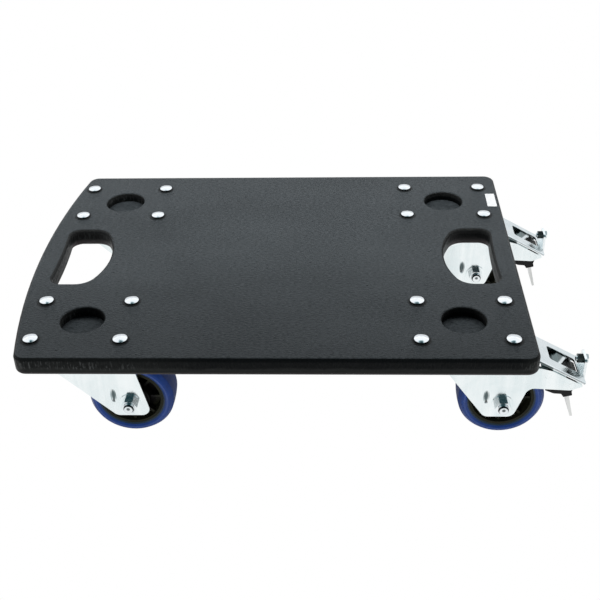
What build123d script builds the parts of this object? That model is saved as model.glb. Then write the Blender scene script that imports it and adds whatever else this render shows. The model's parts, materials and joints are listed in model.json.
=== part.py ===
from build123d import *
import math
import os

# Caster board: a painted plywood deck on four swivel casters, two of them with brakes.
# Millimetres. The floor is at Z 0, the braked casters trail towards +X.

# Deck
deck_length = 470.0
deck_width = 340.0
deck_thickness = 18.0
deck_edge_radius = 3.5
deck_corner_radius = 11.0
bow_radius = 840.0

# Hand holes
hole_length = 100.0
hole_depth = 50.0
hole_inner_arc = 90.0
hole_shoulder_radius = 18.0
hole_grip_radius = 10.0
grip_bulge = 2.0
straight_grip_width = 20.5
bowed_grip_width = 22.5

# Foot recesses
recess_diameter = 40.0
recess_depth = 10.0
recess_mouth_radius = 2.0

# Caster layout
caster_span_x = 344.0
caster_side_inset = 59.0
straight_end_inset = 60.0
caster_height = 102.0
caster_offset = 38.0
brake_reach = 115.0

# Deck bolts and nuts
bolt_span_x = 80.0
bolt_span_y = 60.0
bolt_diameter = 6.0
bolt_length = 30.0
bolt_head_diameter = 13.2
bolt_head_height = 2.7
bolt_head_rim = 1.2
bolt_neck_side = 6.4
bolt_neck_length = 4.5
bolt_hole_clearance = 0.2
nut_across_flats = 10.0
nut_height = 6.5
nut_flange_diameter = 14.0
nut_flange_height = 1.2

# Caster plates
plate_length = 105.0
plate_width = 85.0
plate_sheet = 3.0
plate_corner_radius = 8.0
plate_hole_diameter = 8.5
dish_radius = 29.0
dish_flare = 6.0

# Swivel heads
upper_ball_diameter = 6.0
upper_track_radius = 21.0
upper_ball_count = 12
lower_ball_diameter = 5.0
lower_track_radius = 13.0
lower_ball_count = 10
ball_play = 0.05
upper_race_gap = 4.0
lower_race_gap = 3.0
track_depth = 1.0
cap_sheet = 3.0
cap_margin = 5.0
kingpin_diameter = 12.0
kingpin_head_diameter = 18.0
kingpin_head_height = 3.5
kingpin_turn_clearance = 1.5
dust_ring_width = 3.0
dust_ring_gap = 0.4

# Wheels
wheel_diameter = 80.0
tyre_width = 33.0
tyre_thickness = 10.0
tyre_seat_width = 28.0
tyre_crown = 0.5
rim_ring = 4.0
rim_web = 7.0
rib_count = 8
rib_thickness = 2.4
rib_set_in = 3.0
hub_length = 33.0
hub_wall = 3.5
bearing_diameter = 28.0
bearing_width = 8.0
bearing_shield_depth = 0.6
bearing_ring_wall = 2.2

# Axles
sleeve_diameter = 12.0
axle_diameter = 8.0
axle_across_flats = 13.0
axle_head_height = 5.3
axle_nut_height = 6.5
axle_collar_height = 2.0
axle_tail = 1.5
running_clearance = 0.05

# Forks
fork_gap = 36.0
fork_sheet = 3.0
fork_bend_radius = 6.0
crown_clearance = 3.0
crown_radius = 34.0
leg_foot = 15.0
leg_foot_front = 14.0
leg_foot_back = 19.0
leg_foot_radius = 8.0
leg_neck_back = 6.0
axle_boss_diameter = 20.0
axle_boss_height = 0.8
bead_length = 16.0
bead_width = 5.5
bead_depth = 1.6
bead_ahead = 15.0
bead_height = 8.5

# Brake ears on the braked forks
brake_neck_front = 19.0
brake_foot_front = 16.0
ear_root_back = 10.5
ear_notch_x = 22.0
ear_notch_z = 18.6
ear_belly_x = 60.0
ear_belly_z = 16.2
ear_shoulder_x = 28.0
ear_shoulder_gap = 5.5
ear_kink_x = 42.0
ear_top_gap = 1.4
ear_tip_set_in = 1.6

# Brake plates
brake_sheet = 2.2
brake_pitch = 30.0
brake_side_clearance = 0.8
brake_edge_set_in = 0.5
brake_edge_radius = 1.6
brake_head_room = 9.6
brake_plate_start = 24.0
brake_end_set_in = 1.5
window_start = 40.5
window_end_gap = 4.4
window_width = 20.0
window_shift = 1.6
window_radius = 2.5
tongue_side_gap = 1.0
tongue_dip = 5.5
tongue_fall = 4.5
tongue_rise = 5.5
tongue_reach = 5.1
tongue_gap = 1.5
tongue_skew = 27.0
tab_width = 18.0
tab_height = 18.5
cheek_depth = 16.0
cheek_start = 30.0
cheek_end = 43.0
plate_pin_x = 38.0
plate_pin_drop = 11.0
pin_diameter = 6.0

# Adjusting screws
screw_diameter = 5.0
screw_across_flats = 8.0
screw_head_height = 2.4
screw_tip = 1.5
screw_tab_margin = 4.5
lock_nut_height = 5.0

# Pedals
pedal_pin_x = 61.0
pedal_pin_z = 21.5
lever_width = 28.0
lever_boss_radius = 4.8
lever_pad_start = 53.0
lever_pad_reach = 8.0
lever_pad_gap = 3.0
lever_pad_thickness = 3.5
lever_nose_gap = 0.5
lever_nose_height = 3.0
lever_nose_z = 10.5
lever_belly_x = 47.0
lever_belly_z = 7.0
lever_sole_fall = 0.6
lever_heel_x = 56.4
lever_heel_z = 2.8
lever_heel_width = 8.2
lever_heel_height = 4.4
tread_tip_x = 66.5
tread_tip_z = -21.0
tread_width = 25.0
tread_sheet = 2.4
tread_seat = 8.0

# Levels above the axle, and the frame
wheel_radius = wheel_diameter / 2
deck_under = caster_height - wheel_radius
crown_under = wheel_radius + crown_clearance
crown_top = crown_under + fork_sheet
upper_ball_z = crown_top - track_depth + upper_ball_diameter / 2
lower_ball_z = crown_under + track_depth - lower_ball_diameter / 2
dish_under = crown_top + upper_race_gap
dish_top = dish_under + plate_sheet
flange_under = deck_under - plate_sheet
cap_top = crown_under - lower_race_gap
cap_under = cap_top - cap_sheet
leg_outside = fork_gap / 2 + fork_sheet
boss_outside = leg_outside + axle_boss_height
deck_top = caster_height + deck_thickness
caster_span_y = deck_width - 2 * caster_side_inset
bowed_end_inset = deck_length - caster_span_x - straight_end_inset
layout_x = (bowed_end_inset - brake_reach) / 2
straight_end_x = layout_x + caster_span_x / 2 + straight_end_inset
bowed_end_x = straight_end_x - deck_length

# Brake lines, seen from the side with the axle at the origin
slope = math.tan(math.radians(brake_pitch))
sheet_drop = brake_sheet / math.cos(math.radians(brake_pitch))
screw_face_x = brake_reach - caster_offset
tab_back_x = screw_face_x - screw_head_height
tab_front_x = tab_back_x - brake_sheet
brake_plate_end = tab_back_x - brake_end_set_in
brake_half_width = leg_outside - brake_edge_set_in
cheek_half_width = fork_gap / 2 - brake_side_clearance
screw_length = brake_sheet + lock_nut_height + screw_tip


def brake_line(x):
    return deck_under - brake_head_room - slope * (x - brake_plate_start)


plate_pin_z = brake_line(plate_pin_x) - plate_pin_drop
screw_z = brake_line(tab_back_x) + tab_height - screw_tab_margin

sides = {"front": -1, "back": 1}
ends = {"left": -1, "right": 1}
casters = {
    f"{side}_{end}": (layout_x + ends[end] * caster_span_x / 2, sides[side] * caster_span_y / 2, end)
    for side in sides
    for end in ends
}
bolt_offsets = [(x * bolt_span_x / 2, y * bolt_span_y / 2) for x in (-1, 1) for y in (-1, 1)]


def side_prism(points, radii, half_width):
    profile = make_face(FilletPolyline(*points, radius=radii, close=True))
    return extrude(Plane.XZ * profile, half_width, both=True)


def ring(points):
    return revolve(Plane.XZ * make_face(Polyline(*points, close=True)), Axis.Z)


def cross_bar(radius, low_y, high_y):
    bar = Cylinder(radius, high_y - low_y, align=(Align.CENTER, Align.CENTER, Align.MIN))
    return Pos(0, low_y, 0) * Rot(-90, 0, 0) * bar


def hexagon(across_flats, height):
    prism = extrude(RegularPolygon(across_flats / 2, 6, major_radius=False), height)
    corner = across_flats / math.sqrt(3)
    bevel = (corner - across_flats / 2) / 2
    turned = ring([(0, 0), (corner - bevel, 0), (corner, bevel), (corner, height - bevel),
                   (corner - bevel, height), (0, height)])
    return prism & turned


def bored(solid, radius, height):
    return solid - Cylinder(radius, 4 * height)


# Deck
def hand_hole():
    grip_x = hole_depth / 2
    half = hole_length / 2
    shoulder_x = hole_inner_arc - math.sqrt(hole_inner_arc ** 2 - half ** 2) - grip_x
    inner = ThreePointArc((shoulder_x, -half), (-grip_x, 0), (shoulder_x, half))
    grip = ThreePointArc((grip_x, half), (grip_x - grip_bulge, 0), (grip_x, -half))
    face = make_face([inner, Line(inner @ 1, grip @ 0), grip, Line(grip @ 1, inner @ 0)])
    face = fillet(face.vertices().group_by(Axis.X)[0], hole_shoulder_radius)
    return fillet(face.vertices().group_by(Axis.X)[-1], hole_grip_radius)


def deck():
    blank = Rectangle(deck_length, deck_width, align=(Align.MAX, Align.CENTER))
    outline = Pos(straight_end_x, 0) * blank & Pos(bowed_end_x + bow_radius, 0) * Circle(bow_radius)
    outline = fillet(outline.vertices(), deck_corner_radius)
    hole = hand_hole()
    reach = hole_depth / 2 - grip_bulge
    outline -= Pos(straight_end_x - straight_grip_width - reach, 0) * hole
    outline -= Pos(bowed_end_x + bowed_grip_width + reach, 0) * Rot(0, 0, 180) * hole
    board = Pos(0, 0, caster_height) * extrude(outline, deck_thickness)
    for level in (0, -1):
        board = fillet(board.faces().sort_by(Axis.Z)[level].edges(), deck_edge_radius)
    for x, y, end in casters.values():
        board -= Pos(x, y, deck_top) * Cylinder(recess_diameter / 2, 2 * recess_depth)
    mouths = board.faces().group_by(Axis.Z)[-1].edges().filter_by(lambda edge: edge.is_closed)
    board = fillet(mouths, recess_mouth_radius)
    shank = Cylinder((bolt_diameter + bolt_hole_clearance) / 2, 4 * deck_top)
    neck_hole = bolt_neck_side + bolt_hole_clearance
    neck = Pos(0, 0, deck_top) * Box(neck_hole, neck_hole, 2 * (bolt_neck_length + bolt_hole_clearance))
    for x, y, end in casters.values():
        for dx, dy in bolt_offsets:
            board -= Pos(x + dx, y + dy, 0) * (shank + neck)
    return board


def carriage_bolt():
    head_radius = bolt_head_diameter / 2
    crown = bolt_head_height - bolt_head_rim
    dome_radius = (head_radius ** 2 + crown ** 2) / (2 * crown)
    dome = Pos(0, 0, bolt_head_height - dome_radius) * Sphere(dome_radius)
    head = dome & Cylinder(head_radius, bolt_head_height, align=(Align.CENTER, Align.CENTER, Align.MIN))
    brim = head.edges().filter_by(lambda edge: edge.is_closed).sort_by(Axis.Z)[-1]
    head = fillet(brim, bolt_head_rim / 3)
    shank = Cylinder(bolt_diameter / 2, bolt_length, align=(Align.CENTER, Align.CENTER, Align.MAX))
    neck = Box(bolt_neck_side, bolt_neck_side, bolt_neck_length,
               align=(Align.CENTER, Align.CENTER, Align.MAX))
    return head + shank + neck


def flange_nut():
    flange = Cylinder(nut_flange_diameter / 2, nut_flange_height,
                      align=(Align.CENTER, Align.CENTER, Align.MAX))
    body = Rot(180, 0, 0) * hexagon(nut_across_flats, nut_height)
    return bored(body + flange, bolt_diameter / 2, nut_height)


# Swivel heads, placed on the swivel axis with the axle's height as zero
def track(ball_diameter, track_radius, level):
    return Pos(0, 0, level) * Torus(track_radius, ball_diameter / 2 + ball_play)


def caster_plate():
    inside = kingpin_diameter / 2 + running_clearance
    lip = dish_radius + dish_flare
    wall = plate_sheet / 2
    dish = ring([(inside, dish_under), (dish_radius, dish_under), (lip, flange_under),
                 (lip + plate_sheet, flange_under), (lip + plate_sheet, deck_under),
                 (lip - wall, deck_under), (dish_radius - wall, dish_top), (inside, dish_top)])
    flange = RectangleRounded(plate_length, plate_width, plate_corner_radius) - Circle(lip + plate_sheet)
    for dx, dy in bolt_offsets:
        flange -= Pos(dx, dy) * Circle(plate_hole_diameter / 2)
    plate = Pos(0, 0, flange_under) * extrude(flange, plate_sheet) + dish
    return plate - track(upper_ball_diameter, upper_track_radius, upper_ball_z)


def kingpin():
    shank = kingpin_diameter / 2
    head = kingpin_head_diameter / 2
    crown = kingpin_head_height / 2
    return ring([(0, cap_under - kingpin_head_height), (head - crown, cap_under - kingpin_head_height),
                 (head, cap_under - crown), (head, cap_under), (shank, cap_under), (shank, dish_top),
                 (head, dish_top), (head, dish_top + crown), (head - crown, dish_top + kingpin_head_height),
                 (0, dish_top + kingpin_head_height)])


def race_cap():
    inside = kingpin_diameter / 2 + running_clearance
    outside = lower_track_radius + cap_margin
    bevel = cap_sheet / 2
    cap = ring([(inside, cap_under), (outside - bevel, cap_under), (outside, cap_under + bevel),
                (outside, cap_top), (inside, cap_top)])
    return cap - track(lower_ball_diameter, lower_track_radius, lower_ball_z)


def balls(diameter, track_radius, level, count):
    return [loc * Sphere(diameter / 2) for loc in Pos(0, 0, level) * PolarLocations(track_radius, count)]


def dust_ring():
    outside = dish_radius
    inside = outside - dust_ring_width
    low = crown_top + dust_ring_gap
    return ring([(inside, low), (outside, low), (outside - dust_ring_width / 3, dish_under),
                 (inside, dish_under)])


# Forks, placed on the axle
def leg_outline(braked):
    if not braked:
        neck_front = -caster_offset - crown_radius
        return [(neck_front, crown_top), (leg_neck_back, crown_top), (leg_foot_back, -leg_foot),
                (-leg_foot_front, -leg_foot), (neck_front, crown_under)], [0, 0, leg_foot_radius,
                                                                           leg_foot_radius, 0]
    neck_front = -caster_offset - brake_neck_front
    tip_x = brake_plate_end - ear_tip_set_in
    under_plate = sheet_drop + ear_top_gap
    shoulder_z = brake_line(ear_shoulder_x) - sheet_drop - ear_shoulder_gap
    points = [(neck_front, crown_top), (ear_root_back, crown_top), (ear_shoulder_x, shoulder_z),
              (ear_kink_x, brake_line(ear_kink_x) - under_plate), (tip_x, brake_line(tip_x) - under_plate),
              (ear_belly_x, ear_belly_z), (ear_notch_x, ear_notch_z), (ear_root_back, -leg_foot),
              (-brake_foot_front, -leg_foot), (neck_front, crown_under)]
    return points, [0, 0, 4, 4, 1, leg_foot_radius, leg_foot_radius, leg_foot_radius, leg_foot_radius, 0]


def fork(braked):
    outside = FilletPolyline((-leg_outside, -caster_height), (-leg_outside, crown_top),
                             (leg_outside, crown_top), (leg_outside, -caster_height),
                             radius=[0, fork_bend_radius, fork_bend_radius, 0], close=True)
    bend_inside = fork_bend_radius - fork_sheet
    half_gap = fork_gap / 2
    inside = FilletPolyline((-half_gap, -2 * caster_height), (-half_gap, crown_under),
                            (half_gap, crown_under), (half_gap, -2 * caster_height),
                            radius=[0, bend_inside, bend_inside, 0], close=True)
    channel = extrude(Plane.YZ * (make_face(outside) - make_face(inside)), deck_length, both=True)
    points, radii = leg_outline(braked)
    legs = channel & side_prism(points, radii, 2 * leg_outside)
    crown = Cylinder(crown_radius, fork_sheet, align=(Align.CENTER, Align.CENTER, Align.MIN))
    solid = legs + Pos(-caster_offset, 0, crown_under) * crown
    boss = cross_bar(axle_boss_diameter / 2, leg_outside, boss_outside)
    bead_rim = (bead_width ** 2 / 4 + bead_depth ** 2) / (2 * bead_depth)
    bead_radius = (bead_length ** 2 / 4 + bead_depth ** 2) / (2 * bead_depth)
    bead = Rot(0, 90, 0) * Torus(bead_radius - bead_rim, bead_rim)
    for side in (-1, 1):
        solid += boss if side > 0 else mirror(boss, Plane.XZ)
        solid -= Pos(-bead_ahead, side * (leg_outside + bead_radius - bead_depth), bead_height) * bead
    head = Cylinder(kingpin_diameter / 2 + kingpin_turn_clearance, 4 * crown_top)
    head += track(upper_ball_diameter, upper_track_radius, upper_ball_z)
    head += track(lower_ball_diameter, lower_track_radius, lower_ball_z)
    solid -= Pos(-caster_offset, 0, 0) * head
    solid -= cross_bar(axle_diameter / 2 + running_clearance, -2 * leg_outside, 2 * leg_outside)
    if braked:
        hole = cross_bar(pin_diameter / 2 + running_clearance, -2 * leg_outside, 2 * leg_outside)
        solid -= Pos(plate_pin_x, 0, plate_pin_z) * hole
        solid -= Pos(pedal_pin_x, 0, pedal_pin_z) * hole
    return solid


def axle_bolt():
    tail = boss_outside + axle_nut_height + axle_collar_height + axle_tail
    shank = cross_bar(axle_diameter / 2, -tail, boss_outside)
    head = Pos(0, boss_outside, 0) * Rot(-90, 0, 0) * hexagon(axle_across_flats, axle_head_height)
    return shank + head


def axle_nut():
    body = hexagon(axle_across_flats, axle_nut_height)
    collar = ring([(0, 0), (axle_across_flats / 2 - 1, 0),
                   (axle_across_flats / 2 - 1, axle_nut_height + axle_collar_height / 2),
                   (axle_across_flats / 2 - 2, axle_nut_height + axle_collar_height),
                   (0, axle_nut_height + axle_collar_height)])
    nut = bored(body + collar, axle_diameter / 2 + running_clearance, axle_nut_height + axle_collar_height)
    return Pos(0, -boss_outside, 0) * Rot(90, 0, 0) * nut


def axle_sleeve():
    tube = cross_bar(sleeve_diameter / 2, -fork_gap / 2, fork_gap / 2)
    return tube - cross_bar(axle_diameter / 2 + running_clearance, -fork_gap, fork_gap)


# Wheels, placed on the axle and turned about Y
def wheel_turn(points, radii):
    profile = make_face(FilletPolyline(*points, radius=radii, close=True))
    return Rot(-90, 0, 0) * revolve(Plane.XZ * profile, Axis.Z)


def tyre():
    seat = wheel_radius - tyre_thickness
    half = tyre_width / 2
    half_seat = tyre_seat_width / 2
    ridge = seat + tyre_thickness * 0.35
    edge = seat + tyre_thickness * 0.6
    side = [(seat, half_seat), (ridge, half), (edge, half), (wheel_radius - tyre_crown, half * 0.7),
            (wheel_radius, half * 0.25)]
    points = side + [(r, -y) for r, y in reversed(side)]
    rounding = tyre_thickness * 0.3
    corners = [0, rounding / 2, rounding, rounding, 4 * rounding]
    return wheel_turn(points, corners + corners[::-1])


def rim():
    seat = wheel_radius - tyre_thickness
    ring_inside = seat - rim_ring
    hub = bearing_diameter / 2 + hub_wall
    half_seat = tyre_seat_width / 2
    half_web = rim_web / 2
    half_hub = hub_length / 2
    bore = bearing_diameter / 2
    spacer = bore - bearing_ring_wall
    step = half_hub - bearing_width
    side = [(spacer, step), (bore, step), (bore, half_hub), (hub, half_hub), (hub, half_web),
            (ring_inside, half_web), (ring_inside + rim_ring / 3, half_seat), (seat, half_seat)]
    points = side + [(r, -y) for r, y in reversed(side)]
    solid = wheel_turn(points, [0] * len(points))
    rib_outer = ring_inside + rim_ring / 2
    rib_width = tyre_seat_width - 2 * rib_set_in
    middle = (hub + rib_outer) / 2 - hub_wall / 4
    rib = Box(rib_outer - hub + hub_wall / 2, rib_width, rib_thickness)
    for index in range(rib_count):
        solid += Rot(0, 360 / rib_count * index, 0) * Pos(middle, 0, 0) * rib
    return solid


def wheel_bearings():
    bore = sleeve_diameter / 2 + running_clearance
    outside = bearing_diameter / 2
    face = hub_length / 2
    back = face - bearing_width
    inner_ring = bore + bearing_ring_wall
    outer_ring = outside - bearing_ring_wall
    shield = face - bearing_shield_depth
    points = [(bore, back), (bore, face), (inner_ring, face), (inner_ring, shield), (outer_ring, shield),
              (outer_ring, face), (outside, face), (outside, back)]
    left = wheel_turn(points, [0] * len(points))
    return [left, mirror(left, Plane.XZ)]


# Brakes, placed on the axle of a braked caster
def tongue():
    dip_x = window_start + tongue_fall
    rise_x = dip_x + tongue_rise
    end_x = rise_x + tongue_reach
    half = window_width / 2 - tongue_side_gap
    far_x = end_x + half * math.tan(math.radians(tongue_skew))
    root_x = window_start - brake_sheet
    top = [(root_x, 0), (window_start, 0), (dip_x, tongue_dip), (rise_x, tongue_gap), (far_x, tongue_gap)]
    points = [(x, brake_line(x) - drop) for x, drop in top]
    points += [(x, z - sheet_drop) for x, z in reversed(points)]
    bends = [0, 1, 3, 3, 0]
    leaf = side_prism(points, bends + bends[::-1], half)
    beyond = Box(deck_width, deck_width, 4 * deck_under, align=(Align.MIN, Align.CENTER, Align.CENTER))
    leaf -= Pos(end_x, 0, 0) * Rot(0, 0, -tongue_skew) * beyond
    return Pos(0, window_shift, 0) * leaf


def brake_plate():
    end_x = brake_plate_end
    lean = brake_sheet * math.sin(math.radians(brake_pitch))
    rise = brake_sheet * math.cos(math.radians(brake_pitch))
    strip = [(brake_plate_start, brake_line(brake_plate_start)), (end_x, brake_line(end_x)),
             (end_x - lean, brake_line(end_x) - rise),
             (brake_plate_start - lean, brake_line(brake_plate_start) - rise)]
    plate = side_prism(strip, [0] * 4, brake_half_width)
    sides = plate.edges().filter_by(
        lambda edge: edge.length > tab_width and abs(edge.tangent_at(0.5).Y) < 0.1)
    plate = fillet(sides.sort_by(lambda edge: edge.center().Z - brake_line(edge.center().X))[-2:],
                   brake_edge_radius)
    window_length = tab_front_x - window_end_gap - window_start
    opening = RectangleRounded(window_length, window_width, window_radius)
    window = extrude(opening, 2 * deck_under, both=True)
    plate -= Pos(window_start + window_length / 2, window_shift, 0) * window
    cheek_points = [(cheek_start, brake_line(cheek_start) - rise / 2),
                    (cheek_end + cheek_depth, brake_line(cheek_end + cheek_depth) - rise / 2),
                    (cheek_end, brake_line(cheek_end) - cheek_depth),
                    (cheek_start + cheek_depth / 4,
                     brake_line(cheek_start + cheek_depth / 4) - cheek_depth)]
    cheeks = side_prism(cheek_points, [0, 2, 3, 3], cheek_half_width)
    between = 2 * (cheek_half_width - brake_sheet)
    cheeks -= Box(4 * deck_length, between, 4 * deck_under)
    tab_foot = brake_line(tab_back_x) - rise
    tab_top = brake_line(tab_back_x) + tab_height
    tab = side_prism([(tab_front_x, tab_foot), (tab_back_x, tab_foot), (tab_back_x, tab_top),
                      (tab_front_x, tab_top)], [0] * 4, tab_width / 2)
    top_edges = tab.edges().filter_by(Axis.X).group_by(Axis.Z)[-1]
    tab = fillet(top_edges, tab_width / 6)
    solid = plate + cheeks + tab + tongue()
    screw_hole = Rot(0, 90, 0) * Cylinder(screw_diameter / 2 + running_clearance, 4 * brake_sheet)
    solid -= Pos(tab_back_x, 0, screw_z) * screw_hole
    pin_hole = cross_bar(pin_diameter / 2 + running_clearance, -2 * leg_outside, 2 * leg_outside)
    return solid - Pos(plate_pin_x, 0, plate_pin_z) * pin_hole


def adjusting_screw():
    head = hexagon(screw_across_flats, screw_head_height)
    shank = Cylinder(screw_diameter / 2, screw_length, align=(Align.CENTER, Align.CENTER, Align.MAX))
    return Pos(tab_back_x, 0, screw_z) * Rot(0, 90, 0) * (head + shank)


def lock_nut():
    nut = bored(hexagon(screw_across_flats, lock_nut_height), screw_diameter / 2 + running_clearance,
                lock_nut_height)
    return Pos(tab_front_x, 0, screw_z) * Rot(0, -90, 0) * nut


def hinge_pin(x, z):
    return Pos(x, 0, z) * cross_bar(pin_diameter / 2, -leg_outside, leg_outside)


def heel_lines():
    heel = Vector(lever_heel_x, 0, lever_heel_z)
    tip = Vector(tread_tip_x, 0, tread_tip_z)
    square = math.acos(lever_heel_width / 2 / (tip - heel).length)
    across = (tip - heel).normalized().rotate(Axis.Y, -math.degrees(square))
    return heel, heel + across * lever_heel_width / 2, across


def tread_frame(grow):
    root = heel_lines()[1]
    tip = Vector(tread_tip_x, 0, tread_tip_z)
    along = (tip - root).normalized()
    across = Vector(-along.Z, 0, along.X)
    half = across * (tread_sheet / 2 + grow)
    top = root - along * (tread_seat + grow)
    corners = [top + half, tip + half, tip - half, top - half]
    width = tread_width / 2 + grow
    return side_prism([(c.X, c.Z) for c in corners], [0] * 4, width)


def brake_lever():
    nose_r = wheel_radius + lever_nose_gap
    low = math.sqrt(nose_r ** 2 - lever_nose_z ** 2)
    high_z = lever_nose_z + lever_nose_height
    heel, root, across = heel_lines()
    toe = heel + across * lever_heel_width
    toe_top = toe + Vector(-across.Z, 0, across.X) * lever_heel_height
    outline = [(low, lever_nose_z), (lever_belly_x, lever_belly_z),
               (heel.X - tread_sheet, lever_belly_z - lever_sole_fall), (heel.X, heel.Z),
               (toe.X, toe.Z), (toe_top.X, toe_top.Z),
               (pedal_pin_x + lever_boss_radius, pedal_pin_z - lever_boss_radius / 2),
               (pedal_pin_x, pedal_pin_z + lever_boss_radius / 2), (low, high_z)]
    solid = side_prism(outline, [0, 5, 1, 0, 1, 1, 1, 1, 1], lever_width / 2)
    boss = cross_bar(lever_boss_radius, -lever_width / 2, lever_width / 2)
    solid += Pos(pedal_pin_x, 0, pedal_pin_z) * boss
    pad_end = pedal_pin_x + lever_pad_reach
    pad = [(x, brake_line(x) - sheet_drop - lever_pad_gap) for x in (lever_pad_start, pad_end)]
    pad += [(pad_end, pad[1][1] - lever_pad_thickness), (pedal_pin_x, pedal_pin_z - lever_boss_radius / 2),
            (lever_pad_start, lever_nose_z)]
    solid += side_prism(pad, [1, 1, 1, 0, 0], lever_width / 2)
    hole =cross_bar(pin_diameter / 2 + running_clearance, -lever_width, lever_width)
    solid -= Pos(pedal_pin_x, 0, pedal_pin_z) * hole
    solid -= cross_bar(nose_r, -lever_width, lever_width)
    return solid - tread_frame(running_clearance)


def pedal_tread():
    plate = tread_frame(0)
    tip = plate.edges().filter_by(Axis.Y).group_by(Axis.Z)[0]
    return fillet(tip, tread_sheet / 3)


def save(name, solids):
    shape = solids[0] if len(solids) == 1 else Compound(children=solids)
    export_step(shape, f"parts/{name}.step")


os.makedirs("parts", exist_ok=True)
save("deck", [deck()])

bolts = []
nuts = []
kingpins = []
caps = []
upper_balls = []
lower_balls = []
dust_rings = []
for name, (x, y, end) in casters.items():
    swivel = Pos(x, y, wheel_radius)
    axle = Pos(x + caster_offset, y, wheel_radius)
    braked = end == "right"
    for dx, dy in bolt_offsets:
        bolts.append(Pos(x + dx, y + dy, deck_top) * carriage_bolt())
        nuts.append(Pos(x + dx, y + dy, caster_height - plate_sheet) * flange_nut())
    kingpins.append(swivel * kingpin())
    caps.append(swivel * race_cap())
    dust_rings.append(swivel * dust_ring())
    upper_balls += [swivel * ball for ball in
                    balls(upper_ball_diameter, upper_track_radius, upper_ball_z, upper_ball_count)]
    lower_balls += [swivel * ball for ball in
                    balls(lower_ball_diameter, lower_track_radius, lower_ball_z, lower_ball_count)]
    save(f"caster_plate_{name}", [swivel * caster_plate()])
    save(f"fork_{name}", [axle * fork(braked)])
    save(f"axle_bolt_{name}", [axle * axle_bolt()])
    save(f"axle_nut_{name}", [axle * axle_nut()])
    save(f"axle_sleeve_{name}", [axle * axle_sleeve()])
    save(f"tyre_{name}", [axle * tyre()])
    save(f"rim_{name}", [axle * rim()])
    save(f"wheel_bearings_{name}", [axle * ring_part for ring_part in wheel_bearings()])
    if braked:
        save(f"brake_plate_{name}", [axle * brake_plate()])
        save(f"adjusting_screw_{name}", [axle * adjusting_screw()])
        save(f"lock_nut_{name}", [axle * lock_nut()])
        save(f"plate_pin_{name}", [axle * hinge_pin(plate_pin_x, plate_pin_z)])
        save(f"pedal_pin_{name}", [axle * hinge_pin(pedal_pin_x, pedal_pin_z)])
        save(f"brake_lever_{name}", [axle * brake_lever()])
        save(f"pedal_tread_{name}", [axle * pedal_tread()])

save("carriage_bolts", bolts)
save("bolt_nuts", nuts)
save("kingpins", kingpins)
save("race_caps", caps)
save("dust_rings", dust_rings)
save("upper_balls", upper_balls)
save("lower_balls", lower_balls)
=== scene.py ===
import json
import math
import bpy
from mathutils import Matrix, Vector


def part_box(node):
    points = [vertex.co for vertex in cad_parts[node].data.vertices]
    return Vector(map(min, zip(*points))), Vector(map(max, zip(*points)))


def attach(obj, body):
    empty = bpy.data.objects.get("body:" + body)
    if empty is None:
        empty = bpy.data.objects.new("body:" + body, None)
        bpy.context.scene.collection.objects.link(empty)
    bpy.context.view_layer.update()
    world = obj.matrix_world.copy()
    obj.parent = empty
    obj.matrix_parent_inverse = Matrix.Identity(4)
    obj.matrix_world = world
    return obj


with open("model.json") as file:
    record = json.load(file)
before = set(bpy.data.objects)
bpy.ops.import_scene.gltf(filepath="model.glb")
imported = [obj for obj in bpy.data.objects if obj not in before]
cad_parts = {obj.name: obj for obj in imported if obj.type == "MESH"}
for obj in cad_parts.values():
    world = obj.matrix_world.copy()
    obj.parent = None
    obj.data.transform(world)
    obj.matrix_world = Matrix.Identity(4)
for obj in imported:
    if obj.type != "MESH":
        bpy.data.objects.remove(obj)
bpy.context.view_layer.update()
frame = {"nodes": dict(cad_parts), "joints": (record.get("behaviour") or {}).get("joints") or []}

nodes = frame["nodes"]
joints = {joint["name"]: joint for joint in frame["joints"]}
corners = ["front_left", "front_right", "back_left", "back_right"]
nearPair = corners[:2]
mm = 0.001
midTones = (0.3, 0.7)  # where most values of a noise lie
deckUnder, deckTop = (end.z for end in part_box("deck"))
print("frame loaded:", len(nodes), "nodes")


# Shader helpers
def addNode(tree, kind, **settings):
    node = tree.nodes.new(kind)
    for key, value in settings.items():
        setattr(node, key, value)
    return node


def feed(tree, socket, value):
    if isinstance(value, bpy.types.NodeSocket):
        tree.links.new(value, socket)
    else:
        socket.default_value = value


def feedAll(tree, sockets, values):
    for socket, value in zip(sockets, values):
        feed(tree, socket, value)


def calc(tree, operation, *values):
    node = addNode(tree, "ShaderNodeMath", operation=operation)
    feedAll(tree, node.inputs, values)
    return node.outputs[0]


def chain(tree, operation, values):
    result, *others = values
    for value in others:
        result = calc(tree, operation, result, value)
    return result


def times(tree, *values):
    return chain(tree, "MULTIPLY", values)


def total(tree, *values):
    return chain(tree, "ADD", values)


def most(tree, *values):
    return chain(tree, "MAXIMUM", values)


def less(tree, first, second):
    return calc(tree, "SUBTRACT", first, second)


def awayFrom(tree, value, middle):
    return calc(tree, "ABSOLUTE", less(tree, value, middle))


def distance(tree, first, second):
    return calc(tree, "SQRT", total(tree, times(tree, first, first), times(tree, second, second)))


def mixed(tree, values, shares):
    return total(tree, *(times(tree, value, share) for value, share in zip(values, shares)))


def span(tree, value, low, high, bottom=0.0, top=1.0):
    node = addNode(tree, "ShaderNodeMapRange", interpolation_type="SMOOTHSTEP", clamp=True)
    feedAll(tree, node.inputs, (value, low, high, bottom, top))
    return node.outputs[0]


def blendColour(tree, factor, first, second):
    node = addNode(tree, "ShaderNodeMix", data_type="RGBA")
    colours = [(*value, 1.0) if isinstance(value, tuple) else value for value in (first, second)]
    feedAll(tree, (node.inputs[0], *node.inputs[6:8]), (factor, *colours))  # the colour sockets
    return node.outputs[2]


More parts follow.
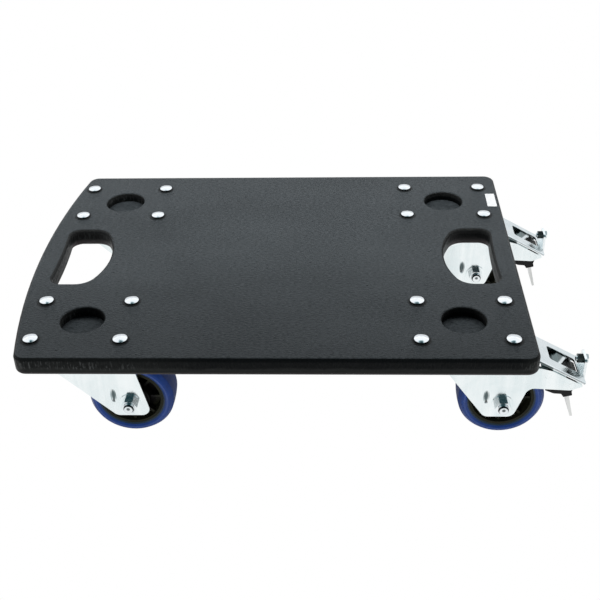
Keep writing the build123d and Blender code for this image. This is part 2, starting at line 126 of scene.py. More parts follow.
def stretched(tree, vector, amounts):
    node = addNode(tree, "ShaderNodeVectorMath", operation="MULTIPLY")
    feedAll(tree, node.inputs, (vector, amounts))
    return node.outputs[0]


def texture(tree, kind, vector, stretch, settings):
    node = addNode(tree, kind)
    feed(tree, node.inputs["Vector"], stretched(tree, vector, stretch) if stretch else vector)
    for label, value in settings.items():
        node.inputs[label].default_value = value
    return node.outputs


def noise(tree, vector, scale=1.0, detail=3.0, rough=0.55, bend=0.0, stretch=None):
    settings = {"Scale": scale, "Detail": detail, "Roughness": rough, "Distortion": bend}
    return texture(tree, "ShaderNodeTexNoise", vector, stretch, settings)["Fac"]


def cells(tree, vector, scale=1.0, stretch=None):
    return texture(tree, "ShaderNodeTexVoronoi", vector, stretch, {"Scale": scale})


def axes(tree, vector):
    node = addNode(tree, "ShaderNodeSeparateXYZ")
    feed(tree, node.inputs[0], vector)
    return node.outputs


def objectPlace(tree):
    return addNode(tree, "ShaderNodeTexCoord").outputs["Object"]


def startGroup(name):
    tree = bpy.data.node_groups.new(name, "ShaderNodeTree")
    return tree, objectPlace(tree)


def takeIn(tree, label):
    tree.interface.new_socket(label, in_out="INPUT", socket_type="NodeSocketFloat")
    return addNode(tree, "NodeGroupInput").outputs[label]


def giveOut(tree, **values):
    for label in values:
        tree.interface.new_socket(label, in_out="OUTPUT", socket_type="NodeSocketFloat")
    result = addNode(tree, "NodeGroupOutput")
    for label, value in values.items():
        feed(tree, result.inputs[label], value)


def useGroup(tree, group, **values):
    node = addNode(tree, "ShaderNodeGroup", node_tree=group)
    for label, value in values.items():
        feed(tree, node.inputs[label], value)
    return node.outputs


def startMaterial(name, **plain):
    material = bpy.data.materials.new(name)
    material.use_nodes = True
    tree = material.node_tree
    shader = tree.nodes["Principled BSDF"]
    for label, value in plain.items():
        shader.inputs[label.replace("_", " ")].default_value = value
    return material, tree, shader


def gloss(tree, value, rough):
    return span(tree, value, *midTones, *rough)


def surface(tree, shader, colour, rough, height, relief):
    feed(tree, shader.inputs["Base Color"], colour)
    feed(tree, shader.inputs["Roughness"], rough)
    bump = addNode(tree, "ShaderNodeBump")
    bump.inputs["Strength"].default_value = 1.0
    bump.inputs["Distance"].default_value = relief
    feed(tree, bump.inputs["Height"], height)
    feed(tree, shader.inputs["Normal"], bump.outputs[0])


# Places on the board, in metres
def aboveUnder(heights):
    return [deckUnder + height for height in heights]


def belowTop(depths):
    return [deckTop - depth for depth in depths]


def pairPlace(kind):
    left, right = (joints[f"{kind}_{corner}"]["pos_m"] for corner in nearPair)
    return (left[0] + right[0]) / 2, (right[0] - left[0]) / 2, abs(left[1]), left[2]


# Shared surface effects
paintMarks = {
    "rolled": {"stretch": (280, 850, 850), "rough": 0.6},  # rolled paint lies along the deck
    "grit": {"scale": 1500, "detail": 2.0, "rough": 0.6},
    "drops": {"stretch": (110, 160, 160)},
    "dropSize": (0.16, 0.04),
    "dropShare": (0.55, 0.75),
    "flatShares": (0.8, 0.35, 0.9),  # rolled paint, grit, drops
    "streak": {"stretch": (560, 560, 120), "rough": 0.6, "bend": 0.5},  # end grain in the paint
    "streakSpan": (0.53, 0.66),
    "streakTop": (0.0015, 0.004),
    "grainShares": (3.2, 0.3),  # end grain, grit
    "wander": {"scale": 60, "detail": 2.0},
    "wanderBy": 0.004,
    "belt": (0.007, 0.011),
    "bowedEnd": (-0.07, -0.15),  # end grain shows near both ends of the deck
    "straightEnd": (0.185, 0.200),
    "patch": {"scale": 16, "detail": 2.0},
    "patchSpan": (0.30, 0.52),
    "endLift": (0.0, 1.0, 1.0, 0.55),
    "footSide": (0.100, 0.150, 0.15, 0.5),  # painted floor light along the bottom of the edges, fainter inside the hand holes
    "foot": (0.0048, 0.0012),
    "wallNear": (0.030, 0.045),  # far walls of the hand holes, where floor light is painted low on the wall
    "wallFar": (0.080, 0.070),
    "bare": (0.0080, 0.0040),
    "brow": (0.0060, 0.0045),  # painted highlight on the upper part of the hole and recess walls
    "browFront": (-0.165, -0.155),
    "cloud": {"stretch": (5, 9, 9)},
    "toneShares": (0.25, 0.75),  # cloud, rolled paint
    "chips": {"scale": 85},
    "chipEdge": {"scale": 420},
    "chipEdgeBy": 0.22,
    "chipSize": (0.20, 0.15),
    "chipPlaces": {"scale": 17, "detail": 1.0},
    "chipShare": (0.60, 0.66),
    "boltSpacing": (0.040, 0.030),  # half the spacing of each group of bolts
    "grime": (0.0096, 0.0080),  # dark rings round the bolt heads: partly grime, mostly painted contact shadow
    # the painted shadow ring is shifted towards the front of each head
    "grimeShift": 0.0014,
}


def makePaintSkin():
    marks = paintMarks
    tree, place = startGroup("paintSkin")
    x, y, z = axes(tree, place)
    rolled = noise(tree, place, **marks["rolled"])
    grit = noise(tree, place, **marks["grit"])
    drops = cells(tree, place, **marks["drops"])
    sparse = span(tree, axes(tree, drops["Color"])[0], *marks["dropShare"])
    drop = times(tree, span(tree, drops["Distance"], *marks["dropSize"]), sparse)
    flat = mixed(tree, (rolled, grit, drop), marks["flatShares"])

    streak = noise(tree, place, **marks["streak"])
    wander = times(tree, noise(tree, place, **marks["wander"]), marks["wanderBy"])
    belt = span(tree, total(tree, z, wander), *aboveUnder(marks["belt"]))
    grain = mixed(tree, (times(tree, streak, belt), grit), marks["grainShares"])
    bowed, straight = (span(tree, x, *marks[key]) for key in ("bowedEnd", "straightEnd"))
    ends = most(tree, bowed, straight)
    patchy = span(tree, noise(tree, place, **marks["patch"]), *marks["patchSpan"])
    shown = times(tree, span(tree, streak, *marks["streakSpan"]), belt, patchy, ends)
    shown = times(tree, shown, span(tree, z, *belowTop(marks["streakTop"])))
    lift = less(tree, 1.0, times(tree, belt, span(tree, ends, *marks["endLift"])))

    # painted floor light low on the deck's edges and low on the far walls of the hand holes
    footing = span(tree, calc(tree, "ABSOLUTE", y), *marks["footSide"])
    foot = times(tree, span(tree, z, *aboveUnder(marks["foot"])), footing)
    wall = times(tree, span(tree, y, *marks["wallNear"]), span(tree, y, *marks["wallFar"]))
    bare = times(tree, span(tree, z, *aboveUnder(marks["bare"])), wall)
    # painted highlight high on the hole and recess walls
    inward = span(tree, y, *marks["browFront"])
    brow = times(tree, span(tree, z, *belowTop(marks["brow"])), inward)

    tone = mixed(tree, (noise(tree, place, **marks["cloud"]), rolled), marks["toneShares"])
    ragged = times(tree, noise(tree, place, **marks["chipEdge"]), marks["chipEdgeBy"])
    chips = total(tree, cells(tree, place, **marks["chips"])["Distance"], ragged)
    rare = span(tree, noise(tree, place, **marks["chipPlaces"]), *marks["chipShare"])
    chip = times(tree, span(tree, chips, *marks["chipSize"]), rare)

    middle, half, side = pairPlace("swivel")[:3]
    boltX, boltY = marks["boltSpacing"]
    groupX = less(tree, awayFrom(tree, x, middle), half)
    groupY = less(tree, awayFrom(tree, y, -marks["grimeShift"]), side)
    offX, offY = (less(tree, calc(tree, "ABSOLUTE", group), spacing)
                  for group, spacing in ((groupX, boltX), (groupY, boltY)))
    grime = span(tree, distance(tree, offX, offY), *marks["grime"])
    giveOut(tree, Flat=flat, Grain=grain, Streak=shown, Tone=tone, Chip=chip, Lift=lift,
            Foot=most(tree, foot, bare), Brow=brow, Grime=grime)
    return tree


zincMarks = {
    "bands": {"stretch": (110, 110, 9), "rough": 0.5},  # soft upright bands of the plating
    "cloud": {"scale": 34, "detail": 4.0, "rough": 0.6, "bend": 0.6},
    "fine": {"scale": 260, "rough": 0.6},
    "spangle": {"scale": 330},
    "lines": {"stretch": (70, 900, 900), "detail": 2.0, "rough": 0.5, "bend": 0.4},
    "cloudShares": (0.6, 0.4),  # bands, cloud
    "heightShares": (0.5, 0.5),  # fine grain, cloud
    "scratch": (0.62, 0.72),
    "beadAhead": 0.015,  # the pressed bead of a fork, from the axle, painted dark as its dark reflection and shade
    "beadUp": 0.0085,
    "beadSize": (0.0026, 0.0078),
    "beadEdge": (1.15, 0.35),
    "plateStart": 0.024,  # the sloping top of the brake plates, from the axle
    "plateUp": 0.0524,
    "plateSlope": 30,
    "tongueSkew": 27,
    # the tongue, its lip and the depth below the plate's top mark where shade is painted inside the
    # brake plate's channel
    "tongue": (0.0003, 0.0011),
    "tongueLip": (0.0530, 0.0512),
    "within": (0.0030, 0.0055),
    "rimHigh": (-0.0013, -0.0009),  # sides of the bolt heads, painted dark as shade and dark reflection
    "rimLow": (0.0010, 0.0005),
}


def makeZincSkin():
    marks = zincMarks
    tree, place = startGroup("zincSkin")
    x, y, z = axes(tree, place)
    bands, cloud, fine, lines = (noise(tree, place, **marks[key])
                                 for key in ("bands", "cloud", "fine", "lines"))
    spangle = axes(tree, cells(tree, place, **marks["spangle"])["Color"])[0]

    beadShades = []
    for corner in nearPair:
        axleX, axleY, axleZ = joints[f"spin_{corner}"]["pos_m"]
        wide, tall = marks["beadSize"]
        beside = calc(tree, "DIVIDE", less(tree, x, axleX - marks["beadAhead"]), wide)
        along = calc(tree, "DIVIDE", less(tree, z, axleZ + marks["beadUp"]), tall)
        lens = total(tree, calc(tree, "ABSOLUTE", beside), times(tree, along, along))
        beadShades.append(span(tree, lens, *marks["beadEdge"]))

    axleX, axleY, axleZ = joints["spin_front_right"]["pos_m"]
    slope, skew = (math.tan(math.radians(marks[key])) for key in ("plateSlope", "tongueSkew"))
    ahead = less(tree, x, axleX)
    fall = times(tree, less(tree, ahead, marks["plateStart"]), slope)
    depth = less(tree, axleZ + marks["plateUp"], total(tree, z, fall))
    beside = less(tree, y, times(tree, calc(tree, "SIGN", y), abs(axleY)))
    lip = less(tree, ahead, times(tree, beside, skew))
    # painted shade over the tongue's dip and inside the channel
    tongueShade = times(tree, span(tree, depth, *marks["tongue"]), span(tree, lip, *marks["tongueLip"]))
    inside = most(tree, tongueShade, span(tree, depth, *marks["within"]))
    rimHigh, rimLow = (span(tree, z, *belowTop(marks[key])) for key in ("rimHigh", "rimLow"))
    giveOut(tree, Cloud=mixed(tree, (bands, cloud), marks["cloudShares"]), Spangle=spangle,
            Scratch=span(tree, lines, *marks["scratch"]),
            Height=mixed(tree, (fine, cloud), marks["heightShares"]),
            Dimple=most(tree, *beadShades), Inside=inside, Rim=times(tree, rimHigh, rimLow))
    return tree


def makeWheelPlace():
    tree, place = startGroup("wheelPlace")
    x, y, z = axes(tree, place)
    middle, half, side, axleZ = pairPlace("spin")
    offX = less(tree, awayFrom(tree, x, middle), half)
    offZ = less(tree, z, axleZ)
    giveOut(tree, Radius=distance(tree, offX, offZ),
            Across=less(tree, calc(tree, "ABSOLUTE", y), side),
            Turn=calc(tree, "ARCTAN2", offZ, offX))
    return tree


dustMarks = {"specks": {"scale": 900, "detail": 2.0, "rough": 0.7}, "speckSpan": (0.60, 0.74),
             "veil": {"scale": 45}, "share": 0.5}


def makeDust():
    tree, place = startGroup("dust")
    specks = span(tree, noise(tree, place, **dustMarks["specks"]), *dustMarks["speckSpan"])
    lying = total(tree, specks, noise(tree, place, **dustMarks["veil"]))
    giveOut(tree, Mask=times(tree, lying, dustMarks["share"], takeIn(tree, "Amount")))
    return tree


paintSkin = makePaintSkin()
zincSkin = makeZincSkin()
wheelPlace = makeWheelPlace()
dust = makeDust()
print("shared effects built")


# Materials
def dusted(tree, colour, look):
    lying = useGroup(tree, dust, Amount=look["dust"])["Mask"]
    return blendColour(tree, lying, colour, look["dustColour"])


deckLook = {
    "colour": (0.0165, 0.0205, 0.0230), "lift": (0.051, 0.0595, 0.065), "toneSpan": (0.34, 0.66),
    "grime": (0.004, 0.005, 0.005), "grimeShare": 0.92,
    "chip": (0.09, 0.09, 0.088), "chipShare": 0.25,
    "dust": 0.02, "dustColour": (0.30, 0.30, 0.29),
    "shine": 0.13, "rough": (0.34, 0.26), "relief": 0.0010,
}


def makeDeckPaint():
    look = deckLook
    material, tree, shader = startMaterial("deckPaint", Specular_IOR_Level=look["shine"])
    skin = useGroup(tree, paintSkin)
    tone = span(tree, skin["Tone"], *look["toneSpan"])
    colour = blendColour(tree, tone, look["colour"], look["lift"])
    colour = blendColour(tree, times(tree, skin["Chip"], look["chipShare"]), colour, look["chip"])
    # painted contact shadow, with some grime, round the bolt heads
    grimeAndShadowed = times(tree, skin["Grime"], look["grimeShare"])
    colour = blendColour(tree, grimeAndShadowed, dusted(tree, colour, look), look["grime"])
    rough = gloss(tree, skin["Tone"], look["rough"])
    surface(tree, shader, colour, rough, skin["Flat"], look["relief"])
    return material


edgeLook = {
    # darker than the deck paint: partly the edges' own paint, partly painted shade on the steep
    # faces
    "colour": (0.0022, 0.0030, 0.0034), "Lift": (0.0125, 0.0140, 0.0134),
    # the lighter colours for the bottom of the edges and the top of the walls are painted light
    "Foot": (0.095, 0.084, 0.086), "Brow": (0.020, 0.021, 0.021), "Streak": (0.050, 0.054, 0.054),
    "dust": 0.02, "dustColour": (0.30, 0.30, 0.29),
    "shine": 0.08, "rough": (0.46, 0.34), "relief": 0.00026,
}


def makeEdgePaintAndShade():
    look = edgeLook
    material, tree, shader = startMaterial("edgePaint", Specular_IOR_Level=look["shine"])
    skin = useGroup(tree, paintSkin)
    colour = look["colour"]
    for mark in ("Lift", "Foot", "Brow", "Streak"):
        colour = blendColour(tree, skin[mark], colour, look[mark])
    rough = gloss(tree, skin["Tone"], look["rough"])
    surface(tree, shader, dusted(tree, colour, look), rough, skin["Grain"], look["relief"])
    return material


zincLooks = {
    "forkZinc": {
        "dark": (0.77, 0.855, 0.868), "light": (0.92, 0.968, 0.972), "glint": (0.96, 0.985, 0.99),
        # the bead colour is painted dark reflection and shade
        "Dimple": (0.050, 0.082, 0.086), "spangle": 0.20, "rough": (0.17, 0.10), "relief": 0.00002},
    "plateZinc": {
        "dark": (0.74, 0.80, 0.81), "light": (0.88, 0.93, 0.94), "glint": (0.94, 0.97, 0.98),
        "spangle": 0.20, "rough": (0.22, 0.14), "relief": 0.00003},
    "brakeZinc": {
        "dark": (0.80, 0.86, 0.87), "light": (0.93, 0.965, 0.97), "glint": (0.96, 0.98, 0.985),
        # painted shade inside the brake plate's channel
        "Inside": (0.085, 0.118, 0.118), "spangle": 0.20, "rough": (0.22, 0.14), "relief": 0.00003},
    "boltZinc": {
        "dark": (0.86, 0.88, 0.90), "light": (0.96, 0.97, 0.98), "glint": (0.98, 0.98, 0.99),
        # the dark sides of the heads are painted shade and dark reflection
        "Rim": (0.012, 0.016, 0.016), "spangle": 0.20, "rough": (0.14, 0.08), "relief": 0.00001},
    "nutZinc": {
        "dark": (0.74, 0.80, 0.82), "light": (0.90, 0.94, 0.95), "glint": (0.95, 0.97, 0.98),
        # the nut end's dark ring and centre are painted shade
        "insert": (0.035, 0.045, 0.045), "spangle": 0.20, "rough": (0.16, 0.10), "relief": 0.00001},
    "treadZinc": {
        "dark": (0.60, 0.61, 0.60), "light": (0.76, 0.77, 0.76), "glint": (0.82, 0.83, 0.82),
        "spangle": 0.25, "rough": (0.46, 0.34), "relief": 0.00006},
    "darkSteel": {
        "dark": (0.020, 0.028, 0.028), "light": (0.055, 0.068, 0.068), "glint": (0.09, 0.10, 0.10),
        "spangle": 0.20, "rough": (0.30, 0.18), "relief": 0.00003},
    "bearingSteel": {
        "dark": (0.50, 0.51, 0.53), "light": (0.66, 0.67, 0.69), "glint": (0.74, 0.75, 0.76),
        "spangle": 0.15, "rough": (0.30, 0.18), "relief": 0.00002},
}
zincShares = {"scratch": 0.25, "spangleRough": 0.06}
# how strongly the painted shade of the beads, the brake channel and the bolt heads shows
markShares = {"Dimple": 0.94, "Inside": 0.9, "Rim": 1.0}
nutMarks = {"ring": 0.0044, "ringWidth": (0.0006, 0.0003),  # painted shade at the nylon ring of the lock nut
            "centre": (0.0021, 0.0012), "centreUp": 0.0010, "centreShare": 0.85}


def makeNutEndShade(tree):
    wheel = useGroup(tree, wheelPlace)
    ring = span(tree, awayFrom(tree, wheel["Radius"], nutMarks["ring"]), *nutMarks["ringWidth"])
    offX, offZ = (times(tree, wheel["Radius"], calc(tree, turn, wheel["Turn"]))
                  for turn in ("COSINE", "SINE"))
    fromCentre = distance(tree, offX, less(tree, offZ, nutMarks["centreUp"]))
    centre = times(tree, span(tree, fromCentre, *nutMarks["centre"]), nutMarks["centreShare"])
    return most(tree, ring, centre)  # with the painted shade in the bolt's end


def makeZinc(name, look):
    material, tree, shader = startMaterial(name, Metallic=1.0)
    skin = useGroup(tree, zincSkin)
    colour = blendColour(tree, span(tree, skin["Cloud"], *midTones), look["dark"], look["light"])
    glint = times(tree, skin["Spangle"], look["spangle"])
    colour = blendColour(tree, glint, colour, look["glint"])
    scored = times(tree, skin["Scratch"], zincShares["scratch"])
    colour = blendColour(tree, scored, colour, look["dark"])
    for mark, share in markShares.items():
        if mark in look:
            colour = blendColour(tree, times(tree, skin[mark], share), colour, look[mark])
    if "insert" in look:
        colour = blendColour(tree, makeNutEndShade(tree), colour, look["insert"])
    rough = total(tree, gloss(tree, skin["Cloud"], look["rough"]),
                  times(tree, skin["Spangle"], zincShares["spangleRough"]))
    surface(tree, shader, colour, rough, skin["Height"], look["relief"])
    return material


tyreLook = {
    "colour": (0.019, 0.060, 0.270), "deep": (0.013, 0.046, 0.215),
    "blotch": {"scale": 70}, "blotchSpan": (0.35, 0.65),
    "tread": (0.0375, 0.0392), "treadRough": 0.12,  # measures from the axle
    # a painted highlight ring along the sidewall's ridge
    "pale": (0.085, 0.135, 0.360), "paleRing": 0.0340, "paleWidth": (0.0013, 0.0003),
    # the lip colour paints shade where the tyre meets the rim
    "paleShare": 0.45, "lip": (0.022, 0.040, 0.062), "lipRing": (0.0320, 0.0308),
    "scuff": (0.05, 0.08, 0.24), "scuffSpan": (0.48, 0.72), "scuffShare": 0.55,
    "scuffs": {"stretch": (500, 120, 500), "detail": 4.0, "rough": 0.65},
    "ridge": 0.0348, "ridgeWidth": (0.0002, 0.0007), "parting": (0.0001, 0.0005),
    "pores": {"scale": 900}, "poreShare": 0.25,
    "dust": 0.03, "dustColour": (0.28, 0.29, 0.32),
    "shine": 0.28, "rough": (0.34, 0.46), "relief": 0.00025,
}


def makeTyreRubber():
    look = tyreLook
    material, tree, shader = startMaterial("tyreRubber", Specular_IOR_Level=look["shine"])
    place = objectPlace(tree)
    wheel = useGroup(tree, wheelPlace)
    tread = span(tree, wheel["Radius"], *look["tread"])
    blotch = noise(tree, place, **look["blotch"])
    blotchy = span(tree, blotch, *look["blotchSpan"])
    colour = blendColour(tree, blotchy, look["deep"], look["colour"])
    # painted highlight ring along the sidewall's ridge
    pale = span(tree, awayFrom(tree, wheel["Radius"], look["paleRing"]), *look["paleWidth"])
    colour = blendColour(tree, times(tree, pale, look["paleShare"]), colour, look["pale"])
    # painted shade where the tyre meets the rim
    lip = span(tree, wheel["Radius"], *look["lipRing"])
    colour = blendColour(tree, lip, colour, look["lip"])
    rubbed = span(tree, noise(tree, place, **look["scuffs"]), *look["scuffSpan"])
    scuff = times(tree, tread, rubbed, look["scuffShare"])
    colour = dusted(tree, blendColour(tree, scuff, colour, look["scuff"]), look)
    rough = total(tree, gloss(tree, blotch, look["rough"]), times(tree, tread, look["treadRough"]))
    fromRidge = awayFrom(tree, wheel["Radius"], look["ridge"])
    ridge = less(tree, 1.0, span(tree, fromRidge, *look["ridgeWidth"]))
    fromMiddle = calc(tree, "ABSOLUTE", wheel["Across"])
    parting = times(tree, less(tree, 1.0, span(tree, fromMiddle, *look["parting"])), tread)
    pores = times(tree, noise(tree, place, **look["pores"]), look["poreShare"])
    surface(tree, shader, colour, rough, total(tree, ridge, parting, pores), look["relief"])
    return material


rimLook = {
    "colour": (0.0020, 0.0018, 0.0020), "lift": (0.0150, 0.0160, 0.0095),
    "ringFace": (0.0205, 0.0268), "grain": {"scale": 420}, "rings": 9000, "ringShare": 0.12,
    "dust": 0.03, "dustColour": (0.20, 0.19, 0.17),
    "shine": 0.12, "rough": (0.40, 0.54), "relief": 0.00012,
}


def makeRimNylon():
    look = rimLook
    material, tree, shader = startMaterial("rimNylon", Specular_IOR_Level=look["shine"])
    wheel = useGroup(tree, wheelPlace)
    ringFace = span(tree, wheel["Radius"], *look["ringFace"])
    colour = blendColour(tree, ringFace, look["colour"], look["lift"])
    grain = noise(tree, objectPlace(tree), **look["grain"])
    rings = calc(tree, "SINE", times(tree, wheel["Radius"], look["rings"]))
    height = total(tree, grain, times(tree, rings, look["ringShare"]))
    rough = gloss(tree, grain, look["rough"])
    surface(tree, shader, dusted(tree, colour, look), rough, height, look["relief"])
    return material


leverLook = {
    "colour": (0.0050, 0.0050, 0.0055), "worn": (0.06, 0.06, 0.065),
    "cast": {"scale": 520, "rough": 0.6}, "rub": {"scale": 130, "detail": 4.0, "rough": 0.7},
    "rubSpan": (0.62, 0.70), "rubShare": 0.5,
    "shine": 0.20, "rough": (0.34, 0.50), "relief": 0.00015,
}


def makeLeverBlack():
    look = leverLook
    material, tree, shader = startMaterial("leverBlack", Specular_IOR_Level=look["shine"])
    place = objectPlace(tree)
    cast = noise(tree, place, **look["cast"])
    rubbed = span(tree, noise(tree, place, **look["rub"]), *look["rubSpan"])
    worn = times(tree, rubbed, look["rubShare"])
    colour = blendColour(tree, worn, look["colour"], look["worn"])
    surface(tree, shader, colour, gloss(tree, cast, look["rough"]), cast, look["relief"])
    return material


sealLook = {
    "colour": (0.020, 0.020, 0.021), "lift": (0.045, 0.045, 0.046), "grain": {"scale": 380},
    "rough": (0.45, 0.6), "relief": 0.0001,
}


def makeSealPlastic():
    look = sealLook
    material, tree, shader = startMaterial("sealPlastic")
    grain = noise(tree, objectPlace(tree), **look["grain"])
    colour = blendColour(tree, grain, look["colour"], look["lift"])
    surface(tree, shader, colour, gloss(tree, grain, look["rough"]), grain, look["relief"])
    return material


looks = {name: makeZinc(name, look) for name, look in zincLooks.items()}
looks.update(deckPaint=makeDeckPaint(), edgePaint=makeEdgePaintAndShade(), tyreRubber=makeTyreRubber(),
             rimNylon=makeRimNylon(), leverBlack=makeLeverBlack(), sealPlastic=makeSealPlastic())
wears = {
    "deck": "deckPaint", "carriage_bolts": "boltZinc", "bolt_nuts": "nutZinc",
    "fork": "forkZinc", "axle_bolt": "nutZinc", "axle_nut": "nutZinc",
    "tyre": "tyreRubber", "rim": "rimNylon", "wheel_bearings": "bearingSteel",
    "upper_balls": "bearingSteel", "lower_balls": "bearingSteel", "dust_rings": "sealPlastic",
    "brake_plate": "brakeZinc", "plate_pin": "forkZinc", "pedal_pin": "forkZinc",
    "adjusting_screw": "plateZinc", "lock_nut": "darkSteel",
    "brake_lever": "leverBlack", "pedal_tread": "treadZinc",
}
for name, node in nodes.items():
    look = next((wears[start] for start in wears if name.startswith(start)), "plateZinc")
    node.data.materials.clear()
    node.data.materials.append(looks[look])

# Deck sides, hole walls and recess walls wear the darker paint, which is partly their own paint and
# partly painted shade
edgeRule = {"steep": 0.92, "mouthSteep": 0.70, "mouthDepth": 0.0021, "mouthRadius": 0.0225}
deckMesh = nodes["deck"].data
deckMesh.materials.append(looks["edgePaint"])
recesses = [Vector(joints[f"swivel_{corner}"]["pos_m"][:2]) for corner in corners]
for polygon in deckMesh.polygons:
    fromRecess = min((polygon.center.xy - middle).length for middle in recesses)
    high = polygon.center.z > deckTop - edgeRule["mouthDepth"]
    mouth = high and fromRecess < edgeRule["mouthRadius"]
    steep = edgeRule["mouthSteep" if mouth else "steep"]
    polygon.material_index = int(abs(polygon.normal.z) < steep)
print("materials on", len(nodes), "nodes")


# Blank plate on the deck, in millimetres
plateLook = {
    "low": (193.7, 97.4), "high": (203.5, 125.6), "thick": 0.30, "corner": 1.0, "steps": 4,
    "colour": (0.67, 0.68, 0.69), "lift": (0.79, 0.80, 0.80),
    "grain": {"scale": 300, "detail": 4.0, "rough": 0.65},
    "shine": 0.4, "rough": (0.42, 0.58), "relief": 0.00004,
}


def addMesh(name, points, faces):
    mesh = bpy.data.meshes.new(name)
    mesh.from_pydata(points, [], faces)
    thing = bpy.data.objects.new(name, mesh)
    bpy.context.scene.collection.objects.link(thing)
    return thing


def makeBlankPlate():
    look = plateLook
    (left, front), (right, back) = look["low"], look["high"]
    corner, steps = look["corner"], look["steps"]
    middles = ((right - corner, back - corner), (left + corner, back - corner),
               (left + corner, front + corner), (right - corner, front + corner))
    outline = []
    for quarter, (middleX, middleY) in enumerate(middles):
        for step in range(steps + 1):
            angle = math.radians(90 * (quarter + step / steps))
            outline.append(((middleX + corner * math.cos(angle)) * mm,
                            (middleY + corner * math.sin(angle)) * mm))
    count = len(outline)
    levels = (deckTop, deckTop + look["thick"] * mm)
    points = [(x, y, level) for level in levels for x, y in outline]
    faces = [tuple(range(count, 2 * count)), tuple(reversed(range(count)))]
    faces += [(i, (i + 1) % count, count + (i + 1) % count, count + i) for i in range(count)]
    plate = addMesh("blankPlate", points, faces)
    material, tree, shader = startMaterial("blankPlateWhite", Specular_IOR_Level=look["shine"])
    grain = noise(tree, objectPlace(tree), **look["grain"])
    colour = blendColour(tree, span(tree, grain, *midTones), look["colour"], look["lift"])
    surface(tree, shader, colour, gloss(tree, grain, look["rough"]), grain, look["relief"])
    plate.data.materials.append(material)
    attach(plate, "board")


makeBlankPlate()
print("blank plate on the deck")


# Stage, light and camera
stageLook = {
    "size": 8.0, "drop": 0.0004, "rough": 0.9, "white": 1.0, "bounce": 0.75,
    "mirror": 0.97, "dim": 0.10, "front": (-0.36, -0.29),  # the white sheet ends before the board
    "shade": 0.5, "shadeEdge": (0.07, 0.06),  # reflected floor is darker under the deck
}


def mixShaders(tree, factor, first, second):
    node = addNode(tree, "ShaderNodeMixShader")
    feedAll(tree, node.inputs, (factor, first, second))
    return node.outputs[0]


def makeFloor():
    look = stageLook
    half, drop = look["size"] / 2, -look["drop"]
    points = [(-half, -half, drop), (half, -half, drop), (half, half, drop), (-half, half, drop)]
    floor = addMesh("floor", points, [(0, 1, 2, 3)])
    bounce = (look["bounce"],) * 3 + (1.0,)
    material, tree, shader = startMaterial("floorPaper", Roughness=look["rough"], Base_Color=bounce)
    path = addNode(tree, "ShaderNodeLightPath").outputs
    x, y = axes(tree, objectPlace(tree))[:2]
    low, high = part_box("deck")
    edgeX, edgeY = look["shadeEdge"]
    sheet = span(tree, y, *look["front"], look["dim"], look["mirror"])
    besideX = awayFrom(tree, x, (low.x + high.x) / 2)
    besideY = calc(tree, "ABSOLUTE", y)
    under = times(tree, span(tree, besideX, high.x, high.x - edgeX),
                  span(tree, besideY, high.y, high.y - edgeY))
    shaded = less(tree, 1.0, times(tree, under, look["shade"]))
    mirrored = times(tree, path["Is Glossy Ray"], times(tree, sheet, shaded))
    glow = addNode(tree, "ShaderNodeEmission")
    white = times(tree, path["Is Camera Ray"], look["white"])
    feed(tree, glow.inputs["Strength"], total(tree, white, mirrored))
    seen = most(tree, path["Is Camera Ray"], path["Is Glossy Ray"])
    paper = mixShaders(tree, seen, shader.outputs[0], glow.outputs[0])
    backface = addNode(tree, "ShaderNodeNewGeometry").outputs["Backfacing"]
    fromBelow = times(tree, backface, path["Is Camera Ray"])
    clear = addNode(tree, "ShaderNodeBsdfTransparent").outputs[0]
    both = mixShaders(tree, fromBelow, paper, clear)
    feed(tree, tree.nodes["Material Output"].inputs["Surface"], both)
    floor.data.materials.append(material)


skyLook = {
    "front": 0.60, "low": 0.80, "high": 1.25, "ceiling": 1.05,  # back screen, brightest halfway up
    "lowSpan": (0.36, 0.53), "ceilingSpan": (0.54, 0.64), "backSpan": (-0.25, 0.15),
    "dark": 0.05, "toward": (0.0, -0.78, 0.62), "darkEdge": (0.78, 0.95),  # room behind the camera
    "gapWide": (0.27, 0.14), "gapBack": (0.42, 0.30), "gapLow": (0.74, 0.86),  # gap overhead
    "tint": (0.95, 0.99, 1.02), "darkTint": (0.42, 1.0, 1.15), "white": (1.0, 1.0, 1.0),
    "lit": 0.14,  # share of the sky that lights the board
}


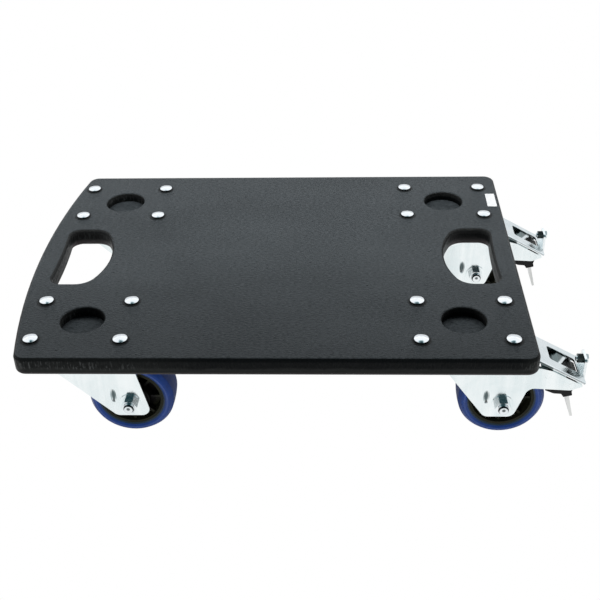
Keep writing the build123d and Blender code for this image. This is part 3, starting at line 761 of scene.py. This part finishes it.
def makeSky():
    look = skyLook
    world = bpy.data.worlds.new("studio")
    world.use_nodes = True
    tree = world.node_tree
    background = tree.nodes["Background"]
    way = addNode(tree, "ShaderNodeTexCoord").outputs["Generated"]
    path = addNode(tree, "ShaderNodeLightPath").outputs
    x, y, z = axes(tree, way)
    screen = span(tree, z, *look["lowSpan"], look["low"], look["high"])
    screen = span(tree, z, *look["ceilingSpan"], screen, look["ceiling"])
    room = span(tree, y, *look["backSpan"], look["front"], screen)
    near = addNode(tree, "ShaderNodeVectorMath", operation="DOT_PRODUCT")
    feedAll(tree, near.inputs, (way, look["toward"]))
    behind = span(tree, near.outputs["Value"], *look["darkEdge"])
    gap = times(tree, span(tree, calc(tree, "ABSOLUTE", x), *look["gapWide"]),
                span(tree, y, *look["gapBack"]), span(tree, z, *look["gapLow"]))
    shade = most(tree, behind, gap)
    light = addNode(tree, "ShaderNodeMix", data_type="FLOAT")
    feedAll(tree, (light.inputs[0], *light.inputs[2:4]), (shade, room, look["dark"]))
    share = span(tree, path["Is Glossy Ray"], 0.0, 1.0, look["lit"], 1.0)
    strength = most(tree, times(tree, light.outputs[0], share), path["Is Camera Ray"])
    feed(tree, background.inputs["Strength"], strength)
    hue = blendColour(tree, shade, look["tint"], look["darkTint"])
    hue = blendColour(tree, path["Is Camera Ray"], hue, look["white"])
    feed(tree, background.inputs["Color"], hue)
    bpy.context.scene.world = world


lamps = {
    "overhead": {"at": (-0.03, 0.075, 0.40), "aim": (-0.03, 0.075, 0.1), "size": (1.0, 0.15),
                 "watts": 2.58},
    "fill": {"at": (0.0, -1.1, 0.07), "aim": (0.0, 0.0, 0.06), "size": (1.6, 0.12), "watts": 7.0},
}


def makeLamps():
    for name, lamp in lamps.items():
        light = bpy.data.lights.new(name, "AREA")
        light.shape = "RECTANGLE"
        light.size, light.size_y = lamp["size"]
        light.energy = lamp["watts"]
        holder = bpy.data.objects.new(name, light)
        holder.location = lamp["at"]
        holder.rotation_mode = "QUATERNION"
        aim = Vector(lamp["aim"]) - Vector(lamp["at"])
        holder.rotation_quaternion = aim.to_track_quat("-Z", "Y")
        holder.visible_glossy = False
        bpy.context.scene.collection.objects.link(holder)


eye = {"at": (0.0373, -0.8458, 0.6383), "pitch": 34.045, "yaw": 2.80, "roll": 1.60,
       "lens": 60.11, "sensor": 36.0, "near": 0.01}


def makeCamera():
    data = bpy.data.cameras.new("photoView")
    data.lens = eye["lens"]
    data.sensor_width = eye["sensor"]
    data.clip_start = eye["near"]
    camera = bpy.data.objects.new("photoView", data)
    pitch, yaw, roll = (math.radians(eye[key]) for key in ("pitch", "yaw", "roll"))
    up = Vector((0, 0, 1))
    ahead = Vector((-math.sin(yaw), math.cos(yaw), 0.0))
    across = Vector((math.cos(yaw), math.sin(yaw), 0.0))
    forward = ahead * math.cos(pitch) - up * math.sin(pitch)
    upright = ahead * math.sin(pitch) + up * math.cos(pitch)
    right = across * math.cos(roll) - upright * math.sin(roll)
    top = across * math.sin(roll) + upright * math.cos(roll)
    turn = Matrix((right, top, -forward)).transposed()
    camera.matrix_world = Matrix.Translation(eye["at"]) @ turn.to_4x4()
    bpy.context.scene.collection.objects.link(camera)
    bpy.context.scene.camera = camera


makeFloor()
makeSky()
makeLamps()
makeCamera()
bpy.context.scene.view_settings.view_transform = "Standard"
print("stage, light and camera set")
